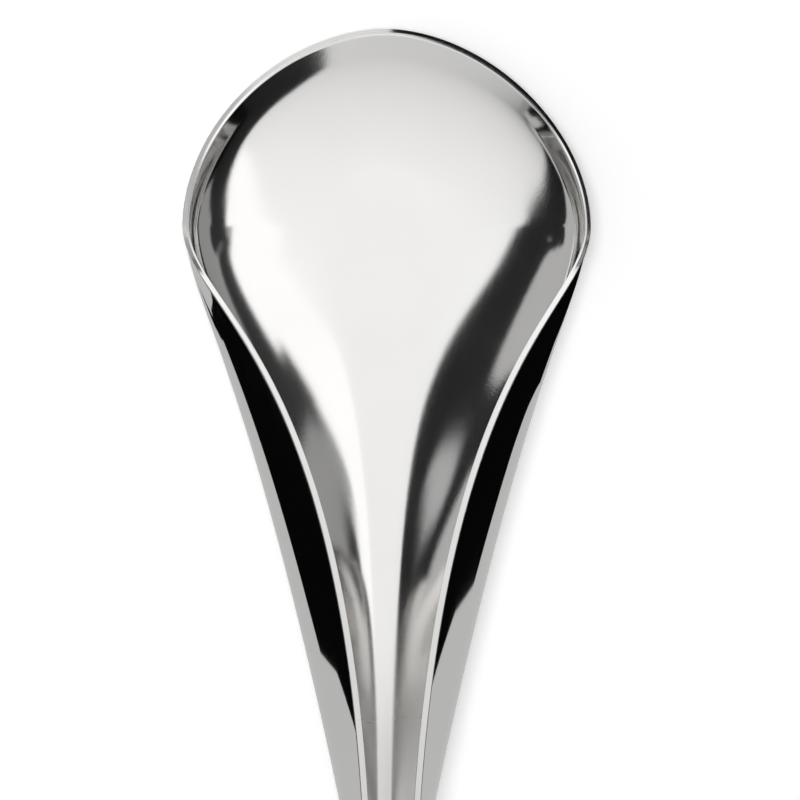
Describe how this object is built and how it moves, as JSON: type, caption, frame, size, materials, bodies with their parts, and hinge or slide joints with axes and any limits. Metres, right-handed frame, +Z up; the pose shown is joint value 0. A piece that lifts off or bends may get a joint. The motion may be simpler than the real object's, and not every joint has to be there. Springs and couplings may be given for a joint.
{
  "type": "tea bag spoon",
  "caption": "Polished steel spoon with a flat round bowl whose sides turn inward over a funnel, to draw in and squeeze a tea bag by its string, and a slotted handle.",
  "frame": {"origin": "centre of the bounding box at its bottom, on the surface that the flat base rests on", "axes": "+X to the right, +Y along the spoon towards the tip of the bowl, +Z up out of the bowl"},
  "size_m": [0.045, 0.165, 0.0129],
  "materials": {
    "bowl_steel": "satin inside, mirror polished outside, bright edge",
    "handle_steel": "satin inside, mirror polished outside, bright edge"
  },
  "bodies": {
    "root": {"bowl_shell": "bowl_steel", "handle_channel": "handle_steel", "end_cap": "handle_steel"}
  },
  "joints": []
}
